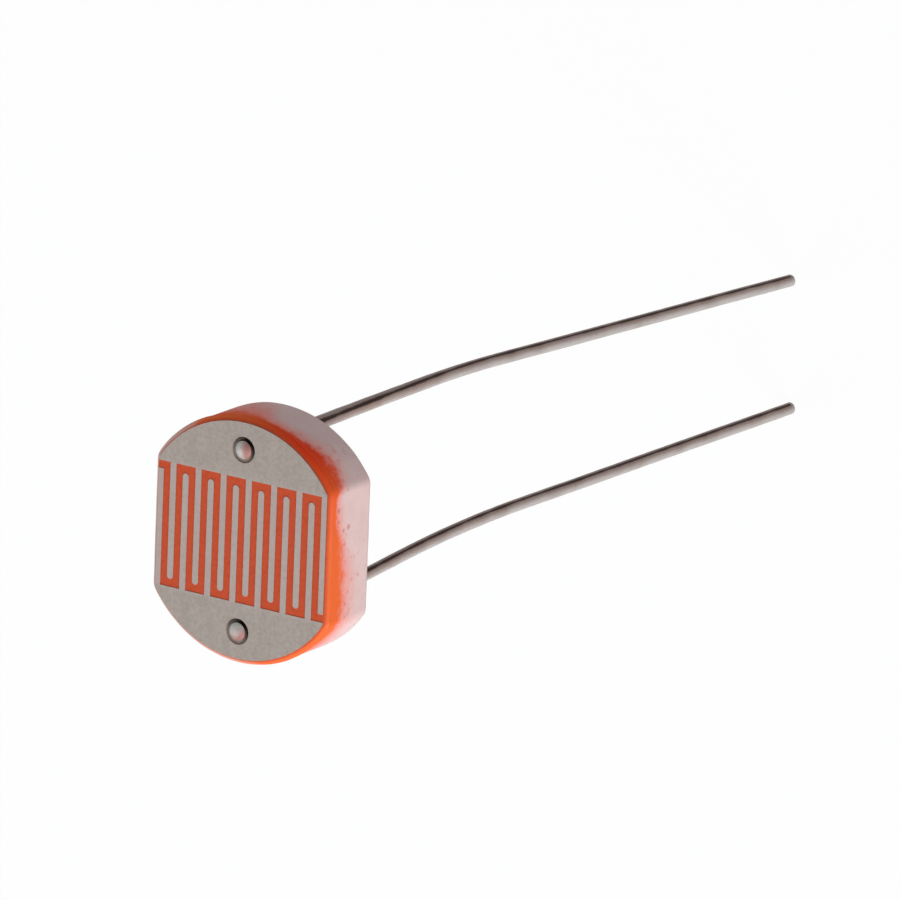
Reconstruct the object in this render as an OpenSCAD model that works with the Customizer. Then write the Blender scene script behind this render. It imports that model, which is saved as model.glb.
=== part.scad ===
// Photoresistor: a light-dependent resistor on a pressed ceramic disc with two flats.
// The light-sensitive face looks along +Z, and the leads hang below the back face.
// The origin is the centre of the back face, and +Y points to the upper lead.

/* [Ceramic base] */
// Diameter of the disc
base_d = 12; // [11:0.1:14]
// Width across the two flats
base_w = 10.1; // [9:0.1:10.8]
// Thickness of the ceramic
base_t = 3.29; // [2:0.01:5]
// Width of the bevel round the front edge
front_bevel = 0.2; // [0.1:0.02:0.4]
// Width of the bevel round the back edge
back_bevel = 0.1; // [0.06:0.02:0.3]
// Distance between the centres of the two lead holes
hole_pitch = 8.9; // [8:0.1:9.6]

/* [Light-sensitive film] */
// Thickness of the film
film_t = 0.04; // [0.02:0.01:0.1]
// How far the film runs down the rim, below the bevel
film_skirt = 0.4; // [0.1:0.05:1.5]

/* [Electrodes] */
// Thickness of the metal of each electrode
electrode_t = 0.03; // [0.02:0.01:0.1]
// Strip of bare film between the electrodes' outer edge and the bevel
electrode_margin = 0.03; // [0.02:0.01:0.2]
// Width of the winding track of bare film between the two electrodes
track_w = 0.39; // [0.3:0.01:0.6]
// Height of the winding track, over its turns
track_h = 6.1; // [4.5:0.1:6.6]
// Width of one finger of an electrode
finger_w = 0.335; // [0.2:0.005:0.5]
// Least width of the finger that runs along a flat
edge_finger_min = 0.2; // [0.1:0.01:0.3]

/* [Leads] */
// Diameter of the wire
wire_d = 0.6; // [0.4:0.02:0.8]
// Room round the wire in its hole
wire_clearance = 0.05; // [0.02:0.01:0.15]
// How far the head on the wire overlaps the ceramic round the hole
head_lip = 0.09; // [0.05:0.01:0.25]
// Depth of the seat that is sunk into the face for each head
seat_depth = 0.35; // [0.2:0.05:1]
// How far the edge of the head stands above the electrodes
head_stand = 0.02; // [0.01:0.01:0.2]
// How far the dome of the head rises above its edge
dome_rise = 0.2; // [0.1:0.02:0.4]
// Length of straight wire below the back face, where a circuit board lies
exit_straight = 1.5; // [1.5:0.5:4]
// Radius of the bend that follows the straight wire
exit_bend_r = 12; // [4:1:20]
// Radius of the bend halfway along a lead
middle_bend_r = 100; // [20:5:140]
// How much thinner the wire is in its bends, where it is stretched
bend_thinning = 0.004; // [0.002:0.002:0.02]
// How far the full wire runs into each end of a bend
bend_lap = 0.03; // [0.01:0.01:0.05]
// Angle of the upper lead after its first bend, towards +Y
upper_exit_angle = 0.6; // [-6:0.2:6]
// Length of the upper lead between its two bends
upper_run = 9.5; // [4:0.5:20]
// Angle of the free end of the upper lead, towards +Y
upper_end_angle = -3.1; // [-8:0.1:8]
// Length of the free end of the upper lead
upper_tail = 25.9; // [15:0.1:40]
// Angle of the lower lead after its first bend, towards +Y
lower_exit_angle = 5; // [-6:0.2:6]
// Length of the lower lead between its two bends
lower_run = 7.5; // [4:0.5:20]
// Angle of the free end of the lower lead, towards +Y
lower_end_angle = -0.7; // [-8:0.1:8]
// Length of the free end of the lower lead
lower_tail = 24; // [15:0.1:40]

/* [Contact cement] */
// Width of the ring of conductive cement round each head
cement_w = 0.2; // [0.08:0.01:0.3]
// How far the cement stops below the top of the electrodes
cement_sink = 0.02; // [0.01:0.005:0.025]

/* [Hidden] */
$fn = 96;
base_r = base_d / 2;
flat_x = base_w / 2;
film_top = base_t + film_t;
face_top = film_top + electrode_t;
seat_z = base_t - seat_depth;
hole_d = wire_d + 2 * wire_clearance;
head_d = hole_d + 2 * head_lip;
seat_d = head_d + 2 * cement_w;
lead_y = hole_pitch / 2;
through = 1;

// The corner of a film of even thickness over the bevel, which leans at half a right angle
film_mitre = film_t * tan(45 / 2);
film_inset = front_bevel - film_mitre;
electrode_inset = film_inset + electrode_margin;

// The legs of the track are an odd number, centred, and fill the narrower of the flats and the disc
track_pitch = track_w + finger_w;
face_r = base_r - electrode_inset;
face_half_w = flat_x - electrode_inset;
turn_half_w = sqrt(pow(face_r, 2) - pow(track_h / 2, 2));
legs_room = min(face_half_w, turn_half_w) - track_w / 2 - edge_finger_min;
side_legs = floor(legs_room / track_pitch);

// The edge of the base in section, from the back face to the front, at half its width from the middle
function base_edge(half) = [
    [half - back_bevel, 0],
    [half, back_bevel],
    [half, base_t - front_bevel],
    [half - front_bevel, base_t]
];

// The outside of the film in section, from the lower edge of its skirt to the face
function film_edge(half) = [
    [half + film_t, base_t - front_bevel - film_skirt],
    [half + film_t, base_t - front_bevel + film_mitre],
    [half - film_inset, film_top]
];

module turned(edge) {
    rotate_extrude()
        polygon(concat([[0, edge[0].y]], edge, [[0, edge[len(edge) - 1].y]]));
}

// A bar along Y with the edge on both of its sides
module bar(edge) {
    rotate([90, 0, 0])
        linear_extrude(base_d + 2 * through, center = true)
            polygon(concat(edge, [for (i = [len(edge) - 1 : -1 : 0]) [-edge[i].x, edge[i].y]]));
}

// A disc with two flats: the round rim and the flats have the same edge
module flatted_disc(rim_edge, flat_edge) {
    intersection() {
        turned(rim_edge);
        bar(flat_edge);
    }
}

module base_blank() {
    flatted_disc(base_edge(base_r), base_edge(flat_x));
}

module at_upper_hole() {
    translate([0, lead_y, 0])
        children();
}

module at_lower_hole() {
    translate([0, -lead_y, 0])
        children();
}

module head_seats() {
    for (side = [1, -1])
        translate([0, side * lead_y, seat_z])
            cylinder(d = seat_d, h = seat_depth + film_t + electrode_t + through);
}

module ceramic_base() {
    color("#d9c6c2")
        difference() {
            base_blank();
            head_seats();
            for (side = [1, -1])
                translate([0, side * lead_y, -through])
                    cylinder(d = hole_d, h = seat_z + 2 * through);
        }
}

module photoconductor_film() {
    color("#c9502f")
        difference() {
            flatted_disc(film_edge(base_r), film_edge(flat_x));
            base_blank();
            head_seats();
        }
}

// The flat part of the face that metal covers
module metal_outline() {
    intersection() {
        circle(r = face_r);
        square([2 * face_half_w, base_d], center = true);
    }
}

// A finger with a round tip, from the upper land down to one track width above the lower land
module finger(x) {
    tip_y = track_w + finger_w / 2 - track_h / 2;
    translate([x - finger_w / 2, tip_y])
        square([finger_w, track_h / 2 - tip_y + track_w]);
    translate([x, tip_y])
        circle(d = finger_w);
}

// The last finger runs along the flat and is as wide as the face leaves it
module edge_finger() {
    inner_x = side_legs * track_pitch + track_w / 2;
    tip_y = track_w - track_h / 2;
    translate([inner_x, tip_y])
        square([base_r, track_h + track_w]);
}

// One electrode: a land above the track, and fingers between every other pair of legs
module comb() {
    intersection() {
        metal_outline();
        union() {
            translate([-base_r, track_h / 2])
                square([base_d, base_r]);
            for (gap = [-side_legs : 2 : side_legs - 1])
                finger((gap + 0.5) * track_pitch);
            edge_finger();
        }
    }
}

module electrode(turn) {
    color("#a19991")
        difference() {
            translate([0, 0, film_top])
                linear_extrude(electrode_t)
                    rotate(turn)
                        comb();
            head_seats();
        }
}

module upper_electrode() {
    electrode(0);
}

module lower_electrode() {
    electrode(180);
}

// The domed head on its seat, and the straight wire through the base as far as the first bend
module headed_shank(end_lap) {
    edge_z = face_top + head_stand;
    dome_r = (pow(head_d / 2, 2) + pow(dome_rise, 2)) / (2 * dome_rise);
    translate([0, 0, -exit_straight - end_lap])
        cylinder(d = wire_d, h = end_lap + exit_straight + seat_z + seat_depth / 2);
    translate([0, 0, seat_z])
        cylinder(d = head_d, h = edge_z - seat_z);
    intersection() {
        translate([0, 0, edge_z + dome_rise - dome_r])
            sphere(r = dome_r);
        translate([0, 0, edge_z])
            cylinder(d = head_d, h = dome_rise + through);
    }
}

function lap(radius, angle) = min(bend_lap, radius * abs(angle) * PI / 180 / 4);

// A straight length down from the origin, with a lap at its start and at its end
module wire_straight(length, start_lap, end_lap) {
    translate([0, 0, -length - end_lap])
        cylinder(d = wire_d, h = start_lap + length + end_lap);
}

// A bend that starts at the origin along -Z and turns towards +Y, or towards -Y for an angle below zero
module wire_bend(radius, angle) {
    if (angle != 0)
        rotate([0, 0, angle < 0 ? 180 : 0])
            translate([0, radius, 0])
                rotate([-90, 0, 0])
                    rotate([0, 90, 0])
                        rotate_extrude(angle = abs(angle))
                            translate([radius, 0])
                                circle(d = wire_d - bend_thinning);
}

module after_bend(radius, angle) {
    translate([0, sign(angle) * radius * (1 - cos(angle)), -radius * sin(abs(angle))])
        rotate([angle, 0, 0])
            children();
}

module lead(exit_angle, run, end_angle, tail) {
    turn = end_angle - exit_angle;
    exit_lap = lap(exit_bend_r, exit_angle);
    middle_lap = lap(middle_bend_r, turn);
    color("#8d8480")
        union() {
            headed_shank(exit_lap);
            translate([0, 0, -exit_straight]) {
                wire_bend(exit_bend_r, exit_angle);
                after_bend(exit_bend_r, exit_angle) {
                    wire_straight(run, exit_lap, middle_lap);
                    translate([0, 0, -run]) {
                        wire_bend(middle_bend_r, turn);
                        after_bend(middle_bend_r, turn)
                            wire_straight(tail, middle_lap, 0);
                    }
                }
            }
        }
}

module upper_lead() {
    at_upper_hole()
        lead(upper_exit_angle, upper_run, upper_end_angle, upper_tail);
}

module lower_lead() {
    at_lower_hole()
        lead(lower_exit_angle, lower_run, lower_end_angle, lower_tail);
}

// A ring that fills the seat round the head, up to just below the metal of the electrode
module contact_cement() {
    color("#3b2b27")
        translate([0, 0, seat_z])
            difference() {
                cylinder(d = seat_d, h = face_top - cement_sink - seat_z);
                translate([0, 0, -through])
                    cylinder(d = head_d, h = face_top - seat_z + 2 * through);
            }
}

module upper_contact_cement() {
    at_upper_hole()
        contact_cement();
}

module lower_contact_cement() {
    at_lower_hole()
        contact_cement();
}

ceramic_base();
photoconductor_film();
upper_electrode();
lower_electrode();
upper_lead();
lower_lead();
upper_contact_cement();
lower_contact_cement();
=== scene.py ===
import math

import bmesh
import bpy
import numpy as np
from mathutils import Matrix, Vector, noise


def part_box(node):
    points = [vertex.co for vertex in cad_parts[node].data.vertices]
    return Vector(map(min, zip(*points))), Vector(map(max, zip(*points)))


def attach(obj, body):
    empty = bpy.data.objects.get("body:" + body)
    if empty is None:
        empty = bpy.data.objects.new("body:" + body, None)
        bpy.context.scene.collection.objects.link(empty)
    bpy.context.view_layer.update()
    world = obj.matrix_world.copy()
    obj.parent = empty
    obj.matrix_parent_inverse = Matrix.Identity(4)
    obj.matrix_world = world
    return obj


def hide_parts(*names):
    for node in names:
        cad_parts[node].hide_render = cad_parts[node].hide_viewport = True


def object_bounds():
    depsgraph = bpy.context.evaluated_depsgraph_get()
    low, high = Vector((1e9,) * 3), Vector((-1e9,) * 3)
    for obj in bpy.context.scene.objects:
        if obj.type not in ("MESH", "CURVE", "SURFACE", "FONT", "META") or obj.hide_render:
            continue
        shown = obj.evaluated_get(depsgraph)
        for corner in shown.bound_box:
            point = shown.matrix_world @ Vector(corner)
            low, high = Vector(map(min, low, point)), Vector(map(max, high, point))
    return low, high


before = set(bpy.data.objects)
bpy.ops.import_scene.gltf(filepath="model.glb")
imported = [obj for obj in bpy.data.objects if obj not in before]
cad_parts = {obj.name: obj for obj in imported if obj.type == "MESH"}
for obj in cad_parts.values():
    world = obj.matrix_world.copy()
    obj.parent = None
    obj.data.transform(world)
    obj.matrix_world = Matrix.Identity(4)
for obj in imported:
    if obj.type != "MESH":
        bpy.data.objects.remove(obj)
cad_low, cad_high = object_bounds()

# The ceramic base: a disc with two flats, pressed from steatite powder and fired without a glaze.
# It carries every other piece. Each lead has a hole through it, with a sunk seat in front for the head.
# Sizes of all pieces are in millimetres, and each mesh is turned to metres when it is finished.
mm = 0.001
base_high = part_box("ceramic_base")[1] / mm
base_half_w = base_high.x
base_r = base_high.y
base_t = base_high.z
front_bevel = 0.2
back_round = 0.2
edge_ease = 0.04
ease_points = 5
corner_r = 0.7
least_corner_r = 0.02
rim_wave = 0.012
rim_wave_size = 0.9
seat_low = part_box("upper_contact_cement")[0] / mm
seat_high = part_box("upper_contact_cement")[1] / mm
seat_r = seat_high.x
seat_z = seat_low.z
lead_y = (seat_low.y + seat_high.y) / 2
hole_r = 0.35

# The band along the back edge that is painted darker as shade
edge_shade_middle = 0.05
edge_shade_half = 0.16

# How finely the mesh is divided, and how far its rings run onto the flat faces
flat_steps = 40
corner_steps = 6
arc_steps = 70
circle_steps = 64
rim_step = 0.1
cap_border = 0.3


def flatted_outline(inset):
    """Points round the base at a distance inside its edge, anticlockwise from the middle of the +X flat."""
    half_w = base_half_w - inset
    radius = base_r - inset
    corner = max(corner_r - inset, least_corner_r)
    turn = math.acos((half_w - corner) / (radius - corner))
    flat_end = (radius - corner) * math.sin(turn)
    flat_y = np.linspace(0, flat_end, flat_steps, endpoint=False)
    flat = np.column_stack((np.full(flat_steps, half_w), flat_y))
    corner_angle = np.linspace(0, turn, corner_steps, endpoint=False)
    around = np.column_stack((np.cos(corner_angle), np.sin(corner_angle)))
    rounded = np.array((half_w - corner, flat_end)) + corner * around
    arc_angle = np.linspace(turn, math.pi / 2, arc_steps, endpoint=False)
    arc = radius * np.column_stack((np.cos(arc_angle), np.sin(arc_angle)))
    quarter = np.vstack((flat, rounded, arc))
    upper_half = np.vstack((quarter, [(0, radius)], (quarter[1:] * (-1, 1))[::-1]))
    return np.vstack((upper_half, -upper_half))


def uneven_ring(inset, z):
    """A ring round the base with the fired rim's slight waves, at one height or a height for each point."""
    outline = flatted_outline(inset)
    ring = np.column_stack((outline, np.broadcast_to(z, len(outline))))
    for point in ring:
        wave = rim_wave * noise.noise(Vector(point) / rim_wave_size)
        point[:2] *= 1 + wave / math.hypot(point[0], point[1])
    return ring


def eased(corners, ease):
    """A section through the given corners, with each inner one rounded over a short length either side."""
    points = [np.array(corners[0])]
    for before, corner, after in zip(corners, corners[1:], corners[2:]):
        before, corner, after = np.array(before), np.array(corner), np.array(after)
        start = corner + ease * (before - corner) / np.linalg.norm(before - corner)
        end = corner + ease * (after - corner) / np.linalg.norm(after - corner)
        for share in np.linspace(0, 1, ease_points):
            points.append((1 - share) ** 2 * start + 2 * share * (1 - share) * corner + share**2 * end)
    points.append(np.array(corners[-1]))
    return points


def with_steps(points, step):
    """The same section with extra points, so that none are further apart than a step."""
    spaced = [points[0]]
    for start, end in zip(points, points[1:]):
        count = max(1, math.ceil(np.linalg.norm(end - start) / step))
        spaced += [start + (end - start) * i / count for i in range(1, count + 1)]
    return spaced


def circle_ring(centre_y, radius, z):
    """A ring round one of the lead holes."""
    angle = np.linspace(0, 2 * math.pi, circle_steps, endpoint=False)
    around_y = centre_y + radius * np.sin(angle)
    return np.column_stack((radius * np.cos(angle), around_y, np.full(circle_steps, z)))


def add_loop(bm, points):
    """Adds a vertex at each point of a ring."""
    return [bm.verts.new(point) for point in points]


def join_loops(bm, first, second):
    """Smooth faces between two loops of the same number of points."""
    for i in range(len(first)):
        face = bm.faces.new((first[i - 1], first[i], second[i], second[i - 1]))
        face.smooth = True


def fill_loops(bm, *loops):
    """A flat face inside the first loop, with a hole for each of the others."""
    edges = []
    for loop in loops:
        for i in range(len(loop)):
            edges.append(bm.edges.get((loop[i - 1], loop[i])) or bm.edges.new((loop[i - 1], loop[i])))
    bmesh.ops.triangle_fill(bm, edges=edges, use_beauty=True, use_dissolve=False)


def mesh_piece(name, bm, *materials):
    """Turns a closed mesh in millimetres into an object in metres, with a crease at each sharp edge."""
    crease = math.radians(35)
    bmesh.ops.recalc_face_normals(bm, faces=bm.faces)
    bmesh.ops.scale(bm, vec=(mm, mm, mm), verts=bm.verts)
    for edge in bm.edges:
        edge.smooth = edge.calc_face_angle(math.pi) < crease
    mesh = bpy.data.meshes.new(name)
    bm.to_mesh(mesh)
    bm.free()
    for material in materials:
        mesh.materials.append(material)
    piece = bpy.data.objects.new(name, mesh)
    bpy.context.scene.collection.objects.link(piece)
    return piece


# The film's spray went past the front edge: how far it reaches down the rim as a dense mist, and then as a
# thin haze, by the angle round the disc in degrees from +X. The left side, round 180, got hardly any.
spray_stops = [
    (-180, 0.08, 0.1), (-118, 0.08, 0.15), (-104, 0.1, 0.5), (-92, 0.12, 1.1), (-84, 0.155, 1.8),
    (-74, 0.22, 2.4), (-60, 0.3, 2.8), (-48, 0.34, 2.8), (-40, 0.62, 2.4), (-30, 0.74, 2.5),
    (-20, 0.84, 2.6), (-10, 0.76, 2.6), (5, 0.74, 1.7), (15, 0.45, 1.3), (19, 0.22, 1.2),
    (30, 0.2, 0.9), (34, 0.6, 1.7), (42, 0.9, 2.2), (50, 0.86, 2.3), (56, 0.65, 2),
    (62, 0.38, 1.6), (70, 0.26, 1.4), (80, 0.22, 1.3), (90, 0.46, 3.3), (105, 0.8, 4.8),
    (109, 0.84, 5.5), (113, 0.55, 5.5), (116, 0.22, 5), (120, 0.13, 3.8), (124, 0.1, 2.8),
    (132, 0.08, 1.4), (145, 0.08, 0.3), (155, 0.08, 0.1), (180, 0.08, 0.1),
]
spray_angles, mist_depths, haze_depths = zip(*spray_stops)

# The spray lies thickest, and looks reddest, round this angle
thick_side = 58
thick_spread = 26
thin_spray = "#e9662c"
thick_spray = "#e63c0a"


def spray_reach(x, y, depths):
    """How far down the rim the spray reaches at a place round the disc."""
    return np.interp(np.degrees(np.arctan2(y, x)), spray_angles, depths)


def spray_thickness(x, y):
    """How thick the spray lies at a place round the disc, from 0 to 1."""
    return math.exp(-(((math.degrees(math.atan2(y, x)) - thick_side) / thick_spread) ** 2))


# Each vertex of the rim carries how much spray lies there and how much painted shade it gets near the back
# edge, for the material
bm = bmesh.new()
mist = bm.verts.layers.float.new("mist")
haze = bm.verts.layers.float.new("haze")
spray = bm.verts.layers.float.new("spray")
edge_shade = bm.verts.layers.float.new("edge_shade")
back_section = eased([(back_round + cap_border, 0), (0, 0), (0, base_t / 2)], back_round)
front_section = eased(
    [
        (0, base_t / 2),
        (0, base_t - front_bevel),
        (front_bevel, base_t),
        (front_bevel + cap_border, base_t),
    ],
    edge_ease,
)
section = back_section + front_section[1:]
rim_loops = []
for inset, z in with_steps(section, rim_step):
    loop = add_loop(bm, uneven_ring(inset, z))
    for vertex in loop:
        x, y = vertex.co.xy
        depth = base_t - front_bevel - z
        vertex[mist] = 1 - depth / spray_reach(x, y, mist_depths)
        vertex[haze] = 1 - depth / spray_reach(x, y, haze_depths)
        vertex[spray] = spray_thickness(x, y)
        vertex[edge_shade] = max(0, 1 - abs(z - edge_shade_middle) / edge_shade_half)
    rim_loops.append(loop)
for lower, upper in zip(rim_loops, rim_loops[1:]):
    join_loops(bm, lower, upper)

# The holes, as free of spray as the back face, and the seats in front of them
back_holes = []
front_seats = []
for centre_y in (lead_y, -lead_y):
    hole_back = add_loop(bm, circle_ring(centre_y, hole_r, 0))
    hole_front = add_loop(bm, circle_ring(centre_y, hole_r, seat_z))
    seat_floor = add_loop(bm, circle_ring(centre_y, seat_r, seat_z))
    seat_edge = add_loop(bm, circle_ring(centre_y, seat_r, base_t))
    for lower, upper in ((hole_back, hole_front), (hole_front, seat_floor), (seat_floor, seat_edge)):
        join_loops(bm, lower, upper)
    for vertex in hole_back + hole_front:
        vertex[mist] = rim_loops[0][0][mist]
        vertex[haze] = rim_loops[0][0][haze]
    back_holes.append(hole_back)
    front_seats.append(seat_edge)
fill_loops(bm, rim_loops[0], *back_holes)
fill_loops(bm, rim_loops[-1], *front_seats)


def hex_colour(text):
    """An sRGB colour such as #d9c6c2 as linear red, green, blue and alpha."""
    srgb = [int(text[i : i + 2], 16) / 255 for i in (1, 3, 5)]
    return [c / 12.92 if c <= 0.04045 else ((c + 0.055) / 1.055) ** 2.4 for c in srgb] + [1]


def add_node(owner, kind, settings, inputs):
    """Adds a shader node to a material or world, sets its fields, and sets or links each of its inputs."""
    node = owner.node_tree.nodes.new(kind)
    for name, value in settings.items():
        setattr(node, name, value)
    for name, value in inputs.items():
        if isinstance(value, bpy.types.NodeSocket):
            owner.node_tree.links.new(value, node.inputs[name])
        else:
            node.inputs[name].default_value = value
    return node


def new_material(name):
    """A new material with its surface shader, and the place on the object that its patterns follow."""
    material = bpy.data.materials.new(name)
    material.use_nodes = True
    place = add_node(material, "ShaderNodeTexCoord", {}, {}).outputs["Object"]
    return material, material.node_tree.nodes["Principled BSDF"], place


def per_metre(size):
    """The scale of a pattern whose features are this many millimetres large, over coordinates in metres."""
    return 1 / (size * mm)


def grain_normal(material, place, size, strength, depth):
    """The bumps of a fine grain of the given size and depth."""
    grain = add_node(
        material, "ShaderNodeTexNoise", {}, {"Vector": place, "Scale": per_metre(size), "Detail": 3}
    ).outputs["Fac"]
    return add_node(
        material, "ShaderNodeBump", {}, {"Height": grain, "Strength": strength, "Distance": depth * mm}
    ).outputs["Normal"]


# Fired steatite: a dry, faintly pink white, with soft cloudy patches and a powdery grain.
# The spray on it is dense at the film's edge, then ragged, with a pink haze, specks and drops beyond.
# Its back edge is painted a little grey as shade, unevenly.
# The real grain is about 0.02 mm, which is too fine to show, so it is drawn at 0.07 mm.
mist_raggedness = 2
haze_raggedness = 0.5
steatite, shader, place = new_material("fired_steatite")
clouds = add_node(
    steatite,
    "ShaderNodeTexNoise",
    {},
    {"Vector": place, "Scale": per_metre(1.2), "Detail": 6, "Roughness": 0.65},
).outputs["Fac"]
body_colour = add_node(
    steatite,
    "ShaderNodeMixRGB",
    {},
    {"Fac": clouds, "Color1": hex_colour("#d0afac"), "Color2": hex_colour("#e4cbc8")},
).outputs["Color"]
ragged = add_node(
    steatite,
    "ShaderNodeTexNoise",
    {},
    {"Vector": place, "Scale": per_metre(0.35), "Detail": 7, "Roughness": 0.75},
).outputs["Fac"]
haze_share = add_node(steatite, "ShaderNodeAttribute", {"attribute_name": "haze"}, {}).outputs["Fac"]
ragged_haze = add_node(
    steatite,
    "ShaderNodeMath",
    {"operation": "MULTIPLY_ADD"},
    {0: ragged, 1: haze_raggedness, 2: haze_share},
).outputs["Value"]
haze_cover = add_node(
    steatite,
    "ShaderNodeMapRange",
    {"interpolation_type": "SMOOTHSTEP"},
    {"Value": ragged_haze, "From Min": 0.25, "From Max": 1.25},
).outputs["Result"]
hazed_colour = add_node(
    steatite,
    "ShaderNodeMixRGB",
    {},
    {"Fac": haze_cover, "Color1": body_colour, "Color2": hex_colour("#ee7e70")},
).outputs["Color"]
mist_share = add_node(steatite, "ShaderNodeAttribute", {"attribute_name": "mist"}, {}).outputs["Fac"]
ragged_mist = add_node(
    steatite,
    "ShaderNodeMath",
    {"operation": "MULTIPLY_ADD"},
    {0: ragged, 1: mist_raggedness, 2: mist_share},
).outputs["Value"]
mist_cover = add_node(
    steatite,
    "ShaderNodeMapRange",
    {"interpolation_type": "SMOOTHSTEP"},
    {"Value": ragged_mist, "From Min": 0.3, "From Max": 1.4},
).outputs["Result"]
spray_share = add_node(steatite, "ShaderNodeAttribute", {"attribute_name": "spray"}, {}).outputs["Fac"]
spray_colour = add_node(
    steatite,
    "ShaderNodeMixRGB",
    {},
    {"Fac": spray_share, "Color1": hex_colour(thin_spray), "Color2": hex_colour(thick_spray)},
).outputs["Color"]
misted_colour = add_node(
    steatite,
    "ShaderNodeMixRGB",
    {},
    {"Fac": mist_cover, "Color1": hazed_colour, "Color2": spray_colour},
).outputs["Color"]
# Painted shade: a grey band along the back edge, uneven with the clouds.
edge_shade_share = add_node(steatite, "ShaderNodeAttribute", {"attribute_name": "edge_shade"}, {}).outputs["Fac"]
uneven_edge_shade = add_node(
    steatite, "ShaderNodeMath", {"operation": "MULTIPLY"}, {0: edge_shade_share, 1: clouds}
).outputs["Value"]
edge_shaded_colour = add_node(
    steatite,
    "ShaderNodeMixRGB",
    {},
    {"Fac": uneven_edge_shade, "Color1": misted_colour, "Color2": hex_colour("#7c6660")},
).outputs["Color"]
speck_noise = add_node(
    steatite,
    "ShaderNodeTexNoise",
    {},
    {"Vector": place, "Scale": per_metre(0.36), "Detail": 4, "Roughness": 0.6},
).outputs["Fac"]
specks = add_node(
    steatite,
    "ShaderNodeMapRange",
    {},
    {"Value": speck_noise, "From Min": 0.58, "From Max": 0.72, "To Min": 0, "To Max": 0.7},
).outputs["Result"]
speck_room = add_node(
    steatite,
    "ShaderNodeMapRange",
    {},
    {"Value": mist_share, "From Min": -3.5, "From Max": -0.5},
).outputs["Result"]
speck_share = add_node(
    steatite, "ShaderNodeMath", {"operation": "MULTIPLY"}, {0: specks, 1: speck_room}
).outputs["Value"]
marked_colour = add_node(
    steatite,
    "ShaderNodeMixRGB",
    {},
    {"Fac": speck_share, "Color1": edge_shaded_colour, "Color2": hex_colour("#cf5a4c")},
).outputs["Color"]

# The darker drops on the +X flat: the place along it, the depth below the bevel, and the size.
# The ragged noise moves a drop's edge, which fades from the inner to the outer limit, all in drop sizes.
drops = ((1.35, 1.3, 0.16), (1.25, 0.9, 0.13), (1.75, 0.45, 0.13), (2.3, 0.42, 0.15), (-2.4, 1.2, 0.1))
drop_raggedness = 2
drop_inner = 0.8
drop_outer = 2.4
for along, depth, size in drops:
    middle = Vector((base_half_w, along, base_t - front_bevel - depth)) * mm
    away = add_node(
        steatite, "ShaderNodeVectorMath", {"operation": "DISTANCE"}, {0: place, 1: middle}
    ).outputs["Value"]
    ragged_away = add_node(
        steatite,
        "ShaderNodeMath",
        {"operation": "MULTIPLY_ADD"},
        {0: ragged, 1: drop_raggedness * size * mm, 2: away},
    ).outputs["Value"]
    drop_cover = add_node(
        steatite,
        "ShaderNodeMapRange",
        {"interpolation_type": "SMOOTHSTEP"},
        {
            "Value": ragged_away,
            "From Min": drop_outer * size * mm,
            "From Max": drop_inner * size * mm,
            "To Min": 0,
            "To Max": 0.75,
        },
    ).outputs["Result"]
    marked_colour = add_node(
        steatite,
        "ShaderNodeMixRGB",
        {},
        {"Fac": drop_cover, "Color1": marked_colour, "Color2": hex_colour("#b8645a")},
    ).outputs["Color"]
steatite.node_tree.links.new(marked_colour, shader.inputs["Base Color"])
powder_bump = grain_normal(steatite, place, size=0.07, strength=0.5, depth=0.012)
steatite.node_tree.links.new(powder_bump, shader.inputs["Normal"])
shader.inputs["Roughness"].default_value = 0.8
shader.inputs["Specular IOR Level"].default_value = 0.12

ceramic = mesh_piece("ceramic_disc", bm, steatite)
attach(ceramic, "root")
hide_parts("ceramic_base")

# The light-sensitive film: cadmium sulphide sprayed on as a slurry and fired into a coat.
# It covers the face and the bevel and thins out to nothing over the first part of the rim.
film_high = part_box("photoconductor_film")[1] / mm
film_t = film_high.x - base_half_w
film_top = film_high.z
least_film_t = 0.002
film_step = 0.05
film_ease = 0.07

# The corner of a coat of even thickness over the bevel, which leans at half a right angle
film_mitre = film_t * math.tan(math.radians(45 / 2))

# How far below the face the coat still looks thick, and the reach of spray that covers the edge in full
thinning = 0.13
full_cover_reach = 0.2

# The skirt on the rim goes down as far as this share of the mist, with a frayed lower edge
skirt_share = 0.5
skirt_rings = 8
fray = 0.05
fray_size = 0.5


def film_cover(x, y):
    """How well the spray covers the film's edge at a place round the disc: fully at 1 and above."""
    return spray_reach(x, y, mist_depths) / full_cover_reach


# Each vertex carries how thick the coat looks, how well the spray covers it, and whether it is on the bevel
bm = bmesh.new()
coat = bm.verts.layers.float.new("coat")
spray = bm.verts.layers.float.new("spray")
cover = bm.verts.layers.float.new("cover")
bevel = bm.verts.layers.float.new("bevel")
outer_section = eased(
    [
        (front_bevel + cap_border, film_top),
        (front_bevel - film_mitre, film_top),
        (-film_t, base_t - front_bevel + film_mitre),
        (-film_t, base_t - front_bevel - film_ease),
    ],
    film_ease,
)
film_loops = []
for inset, z in with_steps(outer_section, film_step):
    loop = add_loop(bm, uneven_ring(inset, z))
    for vertex in loop:
        x, y = vertex.co.xy
        thick_end = thinning * min(1, film_cover(x, y))
        vertex[coat] = max(0, 1 - (film_top - z) / thick_end)
        vertex[bevel] = 1 - vertex[coat] if z > base_t - front_bevel + film_mitre else 0
    film_loops.append(loop)
edge = uneven_ring(0, base_t - front_bevel)
skirt_depth = spray_reach(edge[:, 0], edge[:, 1], mist_depths) * skirt_share
skirt_depth += [fray * noise.noise(Vector(point) / fray_size) for point in edge]
skirt_depth = np.maximum(skirt_depth, 2 * film_ease)
skirt_top = base_t - front_bevel - film_ease
for share in np.linspace(0, 1, skirt_rings + 1)[1:]:
    thickness = least_film_t + (film_t - least_film_t) * (1 - share) ** 2 * (1 + 2 * share)
    film_loops.append(add_loop(bm, uneven_ring(-thickness, skirt_top - share * (skirt_depth - film_ease))))
inner_section = [(0, skirt_top - skirt_depth + film_ease), (0, base_t - front_bevel), (front_bevel, base_t)]
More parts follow.
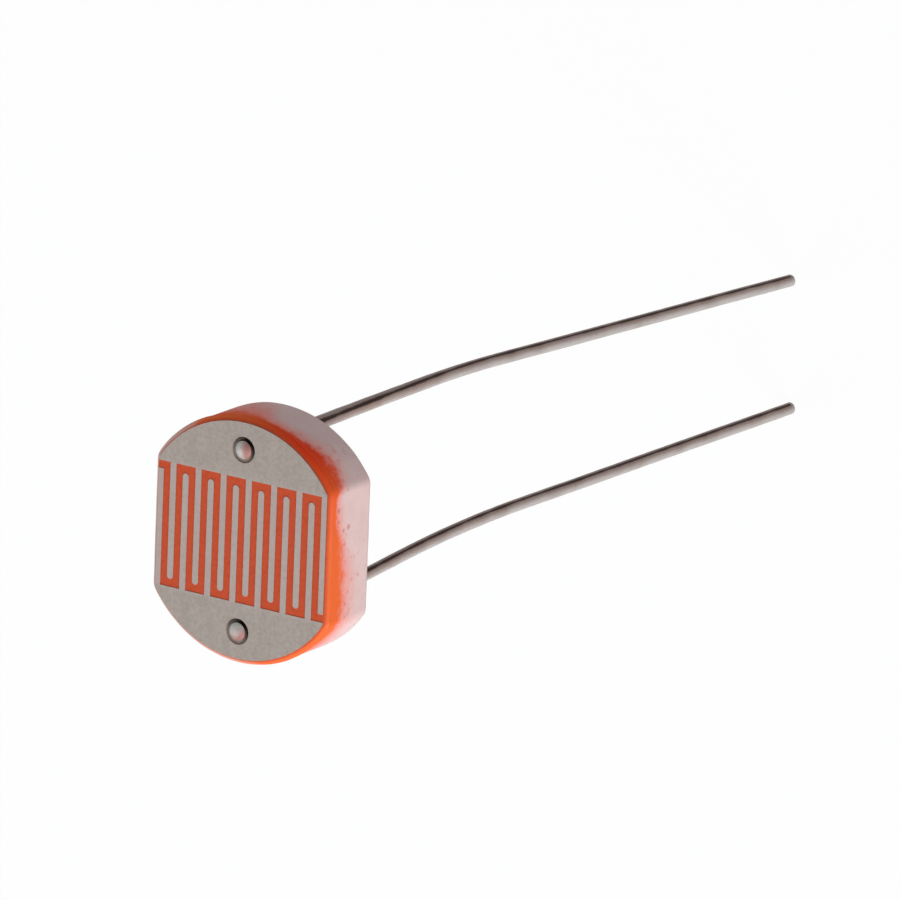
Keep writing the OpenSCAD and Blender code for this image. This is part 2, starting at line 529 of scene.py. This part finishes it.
for inset, z in inner_section:
    film_loops.append(add_loop(bm, uneven_ring(inset, z)))
for lower, upper in zip(film_loops, film_loops[1:]):
    join_loops(bm, lower, upper)
for vertex in bm.verts:
    x, y = vertex.co.xy
    vertex[spray] = spray_thickness(x, y)
    vertex[cover] = film_cover(x, y)
top_holes = []
bottom_holes = []
for centre_y in (lead_y, -lead_y):
    top_holes.append(add_loop(bm, circle_ring(centre_y, seat_r, film_top)))
    bottom_holes.append(add_loop(bm, circle_ring(centre_y, seat_r, base_t)))
    join_loops(bm, bottom_holes[-1], top_holes[-1])
    for vertex in top_holes[-1] + bottom_holes[-1]:
        vertex[coat] = 1
fill_loops(bm, film_loops[0], *top_holes)
fill_loops(bm, film_loops[-1], *bottom_holes)

# Fired cadmium sulphide: matt and brick red where the coat is thick on the face, with a fine darker mottle.
# On the bevel and the rim it is thin and a clearer orange. The bevel is smoother and catches some light.
# On the left and along the bottom it is so thin that the pale pink of the body shows through.
# Its spray grain is about 0.03 mm, drawn at 0.09 mm so that it shows.
sulphide, shader, place = new_material("fired_cadmium_sulphide")
spray_share = add_node(sulphide, "ShaderNodeAttribute", {"attribute_name": "spray"}, {}).outputs["Fac"]
spray_colour = add_node(
    sulphide,
    "ShaderNodeMixRGB",
    {},
    {"Fac": spray_share, "Color1": hex_colour(thin_spray), "Color2": hex_colour(thick_spray)},
).outputs["Color"]
cover_share = add_node(sulphide, "ShaderNodeAttribute", {"attribute_name": "cover"}, {}).outputs["Fac"]
spray_cover = add_node(
    sulphide,
    "ShaderNodeMapRange",
    {},
    {"Value": cover_share, "From Min": 0.4, "From Max": 1, "To Min": 0.1, "To Max": 1},
).outputs["Result"]
edge_colour = add_node(
    sulphide,
    "ShaderNodeMixRGB",
    {},
    {"Fac": spray_cover, "Color1": hex_colour("#c6a59e"), "Color2": spray_colour},
).outputs["Color"]
coat_share = add_node(sulphide, "ShaderNodeAttribute", {"attribute_name": "coat"}, {}).outputs["Fac"]
coat_colour = add_node(
    sulphide,
    "ShaderNodeMixRGB",
    {},
    {"Fac": coat_share, "Color1": edge_colour, "Color2": hex_colour("#c7502f")},
).outputs["Color"]
mottle = add_node(
    sulphide,
    "ShaderNodeTexNoise",
    {},
    {"Vector": place, "Scale": per_metre(0.22), "Detail": 4, "Roughness": 0.65},
).outputs["Fac"]
mottle_share = add_node(
    sulphide,
    "ShaderNodeMapRange",
    {},
    {"Value": mottle, "From Min": 0.4, "From Max": 0.7, "To Min": 0, "To Max": 0.55},
).outputs["Result"]
face_mottle = add_node(
    sulphide, "ShaderNodeMath", {"operation": "MULTIPLY"}, {0: mottle_share, 1: coat_share}
).outputs["Value"]
mottled_colour = add_node(
    sulphide,
    "ShaderNodeMixRGB",
    {},
    {"Fac": face_mottle, "Color1": coat_colour, "Color2": hex_colour("#ab3f24")},
).outputs["Color"]
bevel_share = add_node(sulphide, "ShaderNodeAttribute", {"attribute_name": "bevel"}, {}).outputs["Fac"]
roughness = add_node(
    sulphide, "ShaderNodeMapRange", {}, {"Value": bevel_share, "To Min": 0.85, "To Max": 0.45}
).outputs["Result"]
spray_bump = grain_normal(sulphide, place, size=0.09, strength=0.5, depth=0.012)
sulphide.node_tree.links.new(mottled_colour, shader.inputs["Base Color"])
sulphide.node_tree.links.new(roughness, shader.inputs["Roughness"])
sulphide.node_tree.links.new(spray_bump, shader.inputs["Normal"])
shader.inputs["Specular IOR Level"].default_value = 0.2

film = mesh_piece("light_sensitive_film", bm, sulphide)
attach(film, "root")
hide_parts("photoconductor_film")

# The two electrodes: aluminium evaporated through a mask onto the film, as interlocking combs.
# The bare film between their fingers is the winding track. Their solids are kept and get this finish.
# Each fades from the colour of its land to that of its fingers between these two heights off the middle.
land_from = 3.25
fingers_from = 2.95

# Evaporated aluminium on a rough coat: a matt, warm grey with hardly any shine, and small darker flecks.
# The fingers are a little paler and pinker than the lands, and faint wide streaks run along them.
# The grain of the film shows through it, at the size that the film's is drawn.
evaporated, shader, place = new_material("evaporated_aluminium")
streak_place = add_node(
    evaporated,
    "ShaderNodeMapping",
    {},
    {"Vector": place, "Scale": (per_metre(0.6), per_metre(2.5), per_metre(0.6))},
).outputs["Vector"]
streaks = add_node(
    evaporated, "ShaderNodeTexNoise", {}, {"Vector": streak_place, "Scale": 1, "Detail": 4}
).outputs["Fac"]
metal_colour = add_node(
    evaporated,
    "ShaderNodeMixRGB",
    {},
    {"Fac": streaks, "Color1": hex_colour("#988f88"), "Color2": hex_colour("#a8a099")},
).outputs["Color"]
fleck_noise = add_node(
    evaporated,
    "ShaderNodeTexNoise",
    {},
    {"Vector": place, "Scale": per_metre(0.2), "Detail": 5, "Roughness": 0.7},
).outputs["Fac"]
flecks = add_node(
    evaporated,
    "ShaderNodeMapRange",
    {},
    {"Value": fleck_noise, "From Min": 0.4, "From Max": 0.75, "To Min": 0, "To Max": 0.5},
).outputs["Result"]
flecked_colour = add_node(
    evaporated,
    "ShaderNodeMixRGB",
    {},
    {"Fac": flecks, "Color1": metal_colour, "Color2": hex_colour("#7d736c")},
).outputs["Color"]
height = add_node(evaporated, "ShaderNodeSeparateXYZ", {}, {"Vector": place}).outputs["Y"]
off_middle = add_node(evaporated, "ShaderNodeMath", {"operation": "ABSOLUTE"}, {0: height}).outputs["Value"]
finger_share = add_node(
    evaporated,
    "ShaderNodeMapRange",
    {},
    {
        "Value": off_middle,
        "From Min": land_from * mm,
        "From Max": fingers_from * mm,
        "To Min": 0,
        "To Max": 0.35,
    },
).outputs["Result"]
electrode_colour = add_node(
    evaporated,
    "ShaderNodeMixRGB",
    {},
    {"Fac": finger_share, "Color1": flecked_colour, "Color2": hex_colour("#b8a5a3")},
).outputs["Color"]
film_bump = grain_normal(evaporated, place, size=0.09, strength=0.4, depth=0.01)
evaporated.node_tree.links.new(electrode_colour, shader.inputs["Base Color"])
evaporated.node_tree.links.new(film_bump, shader.inputs["Normal"])
shader.inputs["Metallic"].default_value = 0.3
shader.inputs["Roughness"].default_value = 0.7
shader.inputs["Specular IOR Level"].default_value = 0.2
for name in ("upper_electrode", "lower_electrode"):
    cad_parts[name].data.materials.clear()
    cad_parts[name].data.materials.append(evaporated)

# The contact cement: a ring of dark conductive cement in the seat round each head, put on as a paste.
# It has set with a sunken, lumpy surface, which climbs at the head and at the edge of the seat.
# The hollow is deepest on one side, given as the angle from +X.
face_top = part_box("upper_electrode")[1].z / mm
head_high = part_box("upper_lead")[1] / mm
head_r = head_high.x
least_ring_sink = 0.05
most_ring_sink = 0.24
ring_edge_sink = 0.01
sunk_side = math.radians(50)
hollow_curve = 0.6
ring_steps = 8
lump = 0.012
lump_size = 0.16

# Set carbon cement: brown, dry and granular, with next to no shine, and painted nearly black as shade on
# its deep side.
# The grit is about 0.05 mm, drawn as it is.
carbon_cement, shader, place = new_material("set_carbon_cement")
grit = add_node(
    carbon_cement, "ShaderNodeTexNoise", {}, {"Vector": place, "Scale": per_metre(0.05), "Detail": 3}
).outputs["Fac"]
dry_colour = add_node(
    carbon_cement,
    "ShaderNodeMixRGB",
    {},
    {"Fac": grit, "Color1": hex_colour("#665750"), "Color2": hex_colour("#9d8d85")},
).outputs["Color"]
# Painted shade: the deep side of the hollow is coloured nearly black.
hollow_shade_share = add_node(
    carbon_cement, "ShaderNodeAttribute", {"attribute_name": "hollow"}, {}
).outputs["Fac"]
cement_colour = add_node(
    carbon_cement,
    "ShaderNodeMixRGB",
    {},
    {"Fac": hollow_shade_share, "Color1": dry_colour, "Color2": hex_colour("#1c0e0b")},
).outputs["Color"]
grit_bump = add_node(
    carbon_cement, "ShaderNodeBump", {}, {"Height": grit, "Strength": 0.7, "Distance": 0.02 * mm}
).outputs["Normal"]
carbon_cement.node_tree.links.new(cement_colour, shader.inputs["Base Color"])
carbon_cement.node_tree.links.new(grit_bump, shader.inputs["Normal"])
shader.inputs["Roughness"].default_value = 0.85
shader.inputs["Specular IOR Level"].default_value = 0.15

for side, centre_y in (("upper", lead_y), ("lower", -lead_y)):
    bm = bmesh.new()
    hollow = bm.verts.layers.float.new("hollow")
    loops = [add_loop(bm, circle_ring(centre_y, radius, seat_z)) for radius in (head_r, seat_r)]
    for share in np.linspace(0, 1, ring_steps + 1):
        radius = seat_r + (head_r - seat_r) * share
        loop = add_loop(bm, circle_ring(centre_y, radius, face_top - ring_edge_sink))
        for vertex in loop:
            side_angle = math.atan2(vertex.co.y - centre_y, vertex.co.x) - sunk_side
            vertex[hollow] = (0.5 + 0.5 * math.cos(side_angle)) ** 2
            sink = least_ring_sink + (most_ring_sink - least_ring_sink) * vertex[hollow]
            sink += lump * noise.noise(vertex.co / lump_size)
            vertex.co.z -= sink * math.sin(math.pi * share) ** hollow_curve
        loops.append(loop)
    for first, second in zip(loops, loops[1:] + loops[:1]):
        join_loops(bm, first, second)
    cement = mesh_piece(side + "_cement_ring", bm, carbon_cement)
    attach(cement, "root")
    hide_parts(side + "_contact_cement")

# The leads: drawn copper-clad steel wire, tinned, with a domed head pressed on one end.
# Each is pushed in from the front until its head sits in the seat, and then bent by hand behind the base.
wire_r = 0.3
head_stand = 0.02
head_edge_z = face_top + head_stand
head_round = 0.03
dome_rise = head_high.z - head_edge_z
dome_r = (head_r**2 + dome_rise**2) / (2 * dome_rise)
dome_rings = 14
dome_tip_r = 0.02
wire_sides = 48
wire_step = 0.25
cut_round = 0.03

# The wire runs straight out of the base, then through a short bend, a run, a long bend and a free end.
# The angles are degrees towards +Y.
exit_straight = 1.5
exit_bend_r = 12
middle_bend_r = 100
lead_bends = {
    "upper": {"exit_angle": 0.6, "run": 9.5, "end_angle": -3.1, "tail": 25.9},
    "lower": {"exit_angle": 5, "run": 7.5, "end_angle": -0.7, "tail": 24},
}

# It sways a little, and its tin is lumpy: each takes its own row of the noise.
# The upper lead has more tin near the base, which thins out over this length.
wire_wobble = 0.012
wobble_size = 5
wobble_row = 0
tin_lump = 0.006
tin_lump_size = 0.5
tin_row = 9
thick_tin = {"upper": 0.04, "lower": 0}
thick_tin_length = 17

# The side of each wire that is painted darker as shade, and how far that painted shade reaches round it,
# are degrees too, at the base and where they settle.
# The oxide's side and how far it reaches round the wire are degrees too, at the base and where they settle.
pink_side = {"upper": 0, "lower": -50}
painted_shade_side = {"upper": (27, 62), "lower": (56, 62)}
painted_shade_reach = (130, 90)
painted_shade_settles = 16

# Tinned wire that has dulled: light grey tin with dim patches and fine lines along it from the die.
# One side of it is painted brown and darker as shade, with a narrow dark painted streak along the middle of
# that side, wider near the base.
# The lines are about 0.02 mm wide, drawn at 0.09 mm so that they show.
painted_shade_unevenness = 0.3
dull_tin, shader, place = new_material("dulled_tinned_wire")
line_place = add_node(
    dull_tin,
    "ShaderNodeMapping",
    {},
    {"Vector": place, "Scale": (per_metre(0.09), per_metre(0.09), per_metre(3))},
).outputs["Vector"]
die_lines = add_node(
    dull_tin, "ShaderNodeTexNoise", {}, {"Vector": line_place, "Scale": 1, "Detail": 3}
).outputs["Fac"]
line_colour = add_node(
    dull_tin,
    "ShaderNodeMixRGB",
    {},
    {"Fac": die_lines, "Color1": hex_colour("#a69d99"), "Color2": hex_colour("#c2bbb7")},
).outputs["Color"]
patches = add_node(
    dull_tin, "ShaderNodeTexNoise", {}, {"Vector": place, "Scale": per_metre(1.6), "Detail": 4}
).outputs["Fac"]
patch_share = add_node(
    dull_tin,
    "ShaderNodeMapRange",
    {},
    {"Value": patches, "From Min": 0.5, "From Max": 0.8, "To Min": 0, "To Max": 0.5},
).outputs["Result"]
tin_colour = add_node(
    dull_tin,
    "ShaderNodeMixRGB",
    {},
    {"Fac": patch_share, "Color1": line_colour, "Color2": hex_colour("#8d7f79")},
).outputs["Color"]
# Painted shade: one side of each wire is tinted brown and darker, with a dark painted streak along it.
painted_shade_share = add_node(dull_tin, "ShaderNodeAttribute", {"attribute_name": "painted_shade"}, {}).outputs["Fac"]
uneven_painted_shade = add_node(
    dull_tin,
    "ShaderNodeMath",
    {"operation": "MULTIPLY_ADD"},
    {0: patches, 1: painted_shade_unevenness, 2: painted_shade_share},
).outputs["Value"]
shade_tint_cover = add_node(
    dull_tin,
    "ShaderNodeMapRange",
    {"interpolation_type": "SMOOTHSTEP"},
    {"Value": uneven_painted_shade, "From Min": 0.3, "From Max": 1, "To Min": 0, "To Max": 0.65},
).outputs["Result"]
shade_tinted_colour = add_node(
    dull_tin,
    "ShaderNodeMixRGB",
    {},
    {"Fac": shade_tint_cover, "Color1": tin_colour, "Color2": hex_colour("#8d685b")},
).outputs["Color"]
shade_streak_cover = add_node(
    dull_tin,
    "ShaderNodeMapRange",
    {"interpolation_type": "SMOOTHSTEP"},
    {"Value": uneven_painted_shade, "From Min": 0.93, "From Max": 1.1, "To Min": 0, "To Max": 0.95},
).outputs["Result"]
wire_colour = add_node(
    dull_tin,
    "ShaderNodeMixRGB",
    {},
    {"Fac": shade_streak_cover, "Color1": shade_tinted_colour, "Color2": hex_colour("#2b1511")},
).outputs["Color"]
line_bump = add_node(
    dull_tin, "ShaderNodeBump", {}, {"Height": die_lines, "Strength": 0.4, "Distance": 0.01 * mm}
).outputs["Normal"]
dull_tin.node_tree.links.new(wire_colour, shader.inputs["Base Color"])
dull_tin.node_tree.links.new(line_bump, shader.inputs["Normal"])
shader.inputs["Metallic"].default_value = 0.1
shader.inputs["Roughness"].default_value = 0.5
shader.inputs["Specular IOR Level"].default_value = 0.08

# Clean tin on the pressed heads: a pale silvery grey with a soft shine and shallow press marks.
# One side of each head is pink, fading unevenly across it.
clean_tin, shader, place = new_material("pressed_tin_over_copper")
pinkness_share = add_node(clean_tin, "ShaderNodeAttribute", {"attribute_name": "pinkness"}, {}).outputs["Fac"]
pinkness_noise = add_node(
    clean_tin, "ShaderNodeTexNoise", {}, {"Vector": place, "Scale": per_metre(0.3), "Detail": 3}
).outputs["Fac"]
uneven_pinkness = add_node(
    clean_tin, "ShaderNodeMath", {"operation": "ADD"}, {0: pinkness_share, 1: pinkness_noise}
).outputs["Value"]
pink_cover = add_node(
    clean_tin,
    "ShaderNodeMapRange",
    {"interpolation_type": "SMOOTHSTEP"},
    {"Value": uneven_pinkness, "From Min": 0, "From Max": 1.25, "To Min": 0, "To Max": 0.9},
).outputs["Result"]
head_colour = add_node(
    clean_tin,
    "ShaderNodeMixRGB",
    {},
    {"Fac": pink_cover, "Color1": hex_colour("#b6b8b4"), "Color2": hex_colour("#9c6661")},
).outputs["Color"]
press_marks = add_node(
    clean_tin, "ShaderNodeTexNoise", {}, {"Vector": place, "Scale": per_metre(0.12), "Detail": 2}
).outputs["Fac"]
press_bump = add_node(
    clean_tin, "ShaderNodeBump", {}, {"Height": press_marks, "Strength": 0.4, "Distance": 0.012 * mm}
).outputs["Normal"]
clean_tin.node_tree.links.new(head_colour, shader.inputs["Base Color"])
clean_tin.node_tree.links.new(press_bump, shader.inputs["Normal"])
shader.inputs["Metallic"].default_value = 0.25
shader.inputs["Roughness"].default_value = 0.6
shader.inputs["Specular IOR Level"].default_value = 0.3


def wire_line(exit_angle, run, end_angle, tail):
    """Points (y, z, heading) down the middle of a lead. Heading 0 is straight down, above 0 is to +Y."""
    turn = end_angle - exit_angle
    stretches = [
        (seat_z + exit_straight, 0),
        (exit_bend_r * math.radians(abs(exit_angle)), exit_angle),
        (run, 0),
        (middle_bend_r * math.radians(abs(turn)), turn),
        (tail, 0),
    ]
    y, z, heading = 0.0, seat_z, 0.0
    line = [(y, z, heading)]
    for length, angle in stretches:
        count = math.ceil(length / wire_step)
        for i in range(count):
            middle = heading + math.radians(angle) / count / 2
            y += length / count * math.sin(middle)
            z -= length / count * math.cos(middle)
            heading += math.radians(angle) / count
            line.append((y, z, heading))
    return line


def wire_ring(centre_y, y, z, heading, radius):
    """A ring of points round the middle of the wire, square to its heading."""
    angle = np.linspace(0, 2 * math.pi, wire_sides, endpoint=False)
    across = radius * np.sin(angle)
    return np.column_stack(
        (
            radius * np.cos(angle),
            centre_y + y + across * math.cos(heading),
            z + across * math.sin(heading),
        )
    )


for side, centre_y in (("upper", lead_y), ("lower", -lead_y)):
    bm = bmesh.new()
    pinkness = bm.verts.layers.float.new("pinkness")
    painted_shade = bm.verts.layers.float.new("painted_shade")

    # The head, from the wire under it to the top of its dome
    head_section = eased([(wire_r, seat_z), (head_r, seat_z), (head_r, head_edge_z)], head_round)
    dome_centre = head_edge_z + dome_rise - dome_r
    for radius in np.linspace(head_r, dome_tip_r, dome_rings)[1:]:
        head_section.append((radius, dome_centre + math.sqrt(dome_r**2 - radius**2)))
    pink_angle = math.radians(pink_side[side])
    head_loops = []
    for radius, z in head_section:
        ring = wire_ring(centre_y, 0, z, 0, radius)
        for point in ring:
            point[2] += tin_lump * noise.noise(Vector(point) / tin_lump_size)
        loop = add_loop(bm, ring)
        for vertex in loop:
            out_x, out_y = vertex.co.x, vertex.co.y - centre_y
            vertex[pinkness] = (out_x * math.cos(pink_angle) + out_y * math.sin(pink_angle)) / head_r
        head_loops.append(loop)
    for lower, upper in zip(head_loops, head_loops[1:]):
        join_loops(bm, lower, upper)
    bm.faces.new(head_loops[-1]).smooth = True
    for face in bm.faces:
        face.material_index = 1

    # The wire, from the head to its cut end
    wire_loops = [head_loops[0]]
    line = wire_line(**lead_bends[side])
    for y, z, heading in line[1:-1]:
        ease_in = min(1, max(0, -z) / wobble_size)
        sway = ease_in * wire_wobble * noise.noise(Vector((centre_y, wobble_row, z / wobble_size)))
        swell = tin_lump * noise.noise(Vector((centre_y, tin_row, z / tin_lump_size)))
        swell += thick_tin[side] * min(1, max(0, 1 + z / thick_tin_length))
        loop = add_loop(bm, wire_ring(centre_y, y + sway, z, heading, wire_r + swell))
        # Where round this ring the painted shade lies, and how far it reaches
        painted_shade_middle = np.interp(-z, (0, painted_shade_settles), painted_shade_side[side])
        reach = np.interp(-z, (0, painted_shade_settles), painted_shade_reach)
        for vertex in loop:
            side_angle = math.degrees(math.atan2(vertex.co.y - centre_y - y - sway, vertex.co.x))
            vertex[painted_shade] = max(0, 1 - abs(math.remainder(side_angle - painted_shade_middle, 360)) / reach)
        wire_loops.append(loop)
    y, z, heading = line[-1]
    for back, radius in ((cut_round, wire_r), (0, wire_r - cut_round)):
        tip_y = y - back * math.sin(heading)
        tip_z = z + back * math.cos(heading)
        wire_loops.append(add_loop(bm, wire_ring(centre_y, tip_y, tip_z, heading, radius)))
    for lower, upper in zip(wire_loops, wire_loops[1:]):
        join_loops(bm, lower, upper)
    bm.faces.new(wire_loops[-1])
    lead = mesh_piece(side + "_wire_lead", bm, dull_tin, clean_tin)
    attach(lead, "root")
    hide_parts(side + "_lead")

# The floor: a wide sheet of plain white card under the tips of the leads.
# It bounces light as a pale grey, and is near white to the eye and to shiny surfaces, with a faint shadow.
# From here on, sizes and distances are in metres.
floor_half = 2.0
floor_white = 0.95


def seen_directly(owner):
    """1 for what the camera, a reflection or glass shows, and 0 for the light that falls on the part."""
    rays = add_node(owner, "ShaderNodeLightPath", {}, {}).outputs
    seen_or_glossy = add_node(
        owner,
        "ShaderNodeMath",
        {"operation": "ADD"},
        {0: rays["Is Camera Ray"], 1: rays["Is Glossy Ray"]},
    ).outputs["Value"]
    return add_node(
        owner,
        "ShaderNodeMath",
        {"operation": "ADD", "use_clamp": True},
        {0: seen_or_glossy, 1: rays["Is Transmission Ray"]},
    ).outputs["Value"]


bm = bmesh.new()
corners = ((-1, -1), (1, -1), (1, 1), (-1, 1))
bm.faces.new([bm.verts.new((x * floor_half, y * floor_half, cad_low.z)) for x, y in corners])
floor_mesh = bpy.data.meshes.new("floor")
bm.to_mesh(floor_mesh)
bm.free()
floor = bpy.data.objects.new("floor", floor_mesh)
bpy.context.scene.collection.objects.link(floor)
card = bpy.data.materials.new("white_card")
card.use_nodes = True
card.node_tree.nodes.remove(card.node_tree.nodes["Principled BSDF"])
white_share = add_node(
    card, "ShaderNodeMath", {"operation": "MULTIPLY"}, {0: seen_directly(card), 1: floor_white}
).outputs["Value"]
matt = add_node(card, "ShaderNodeBsdfDiffuse", {}, {"Color": hex_colour("#eaeff2")}).outputs["BSDF"]
white = add_node(
    card, "ShaderNodeEmission", {}, {"Color": hex_colour("#ffffff"), "Strength": 1}
).outputs["Emission"]
mixed = add_node(card, "ShaderNodeMixShader", {}, {"Fac": white_share, 1: matt, 2: white}).outputs["Shader"]
card.node_tree.links.new(mixed, card.node_tree.nodes["Material Output"].inputs["Surface"])
floor_mesh.materials.append(card)

# The studio light: a large softbox low on the right, before the part, and a weaker one high on the left.
# The room around is dim, and shows as white behind the part.
room_level = 0.27
softboxes = {
    "key_softbox": {"towards": (0.67, -0.62, 0.41), "distance": 0.5, "width": 0.3, "level": 0.88},
    "overhead_softbox": {"towards": (-0.5, -0.4, 0.77), "distance": 0.5, "width": 0.3, "level": 0.48},
}
for name, box in softboxes.items():
    lamp = bpy.data.lights.new(name, "AREA")
    lamp.shape = "SQUARE"
    lamp.size = box["width"]
    lamp.energy = box["level"] * math.pi**2 * box["distance"] ** 2
    holder = bpy.data.objects.new(name, lamp)
    towards = Vector(box["towards"]).normalized()
    holder.location = towards * box["distance"]
    holder.rotation_mode = "QUATERNION"
    holder.rotation_quaternion = towards.to_track_quat("Z", "Y")
    holder.visible_camera = False
    bpy.context.scene.collection.objects.link(holder)
room = bpy.data.worlds.new("studio_room")
bpy.context.scene.world = room
room.use_nodes = True
strength = add_node(
    room,
    "ShaderNodeMapRange",
    {},
    {"Value": seen_directly(room), "To Min": room_level, "To Max": 1},
).outputs["Result"]
backdrop = room.node_tree.nodes["Background"]
backdrop.inputs["Color"].default_value = hex_colour("#ffffff")
room.node_tree.links.new(strength, backdrop.inputs["Strength"])

# The camera: a long lens that looks down on the face from the right, with the picture's upright along +Y.
# The place it looks at and the angle of its roll put the part where the photograph has it.
view_from = Vector((0.53682, 0.27834, 0.79646))
view_centre = Vector((7.27, 4.46, -3.15)) * mm
view_distance = 0.7
view_roll = math.radians(2.25)
lens_mm = 596
sensor_mm = 36
across = Vector((0, 1, 0)).cross(view_from).normalized()
upright = view_from.cross(across)
camera = bpy.data.objects.new("camera", bpy.data.cameras.new("camera"))
camera.data.lens = lens_mm
camera.data.sensor_width = sensor_mm
camera.data.clip_start = 0.01
camera.data.clip_end = 20
turned = Matrix((across, upright, view_from)).transposed() @ Matrix.Rotation(view_roll, 3, "Z")
camera.matrix_world = Matrix.Translation(view_centre + view_from * view_distance) @ turned.to_4x4()
bpy.context.scene.collection.objects.link(camera)
bpy.context.scene.camera = camera
bpy.context.scene.view_settings.view_transform = "Standard"
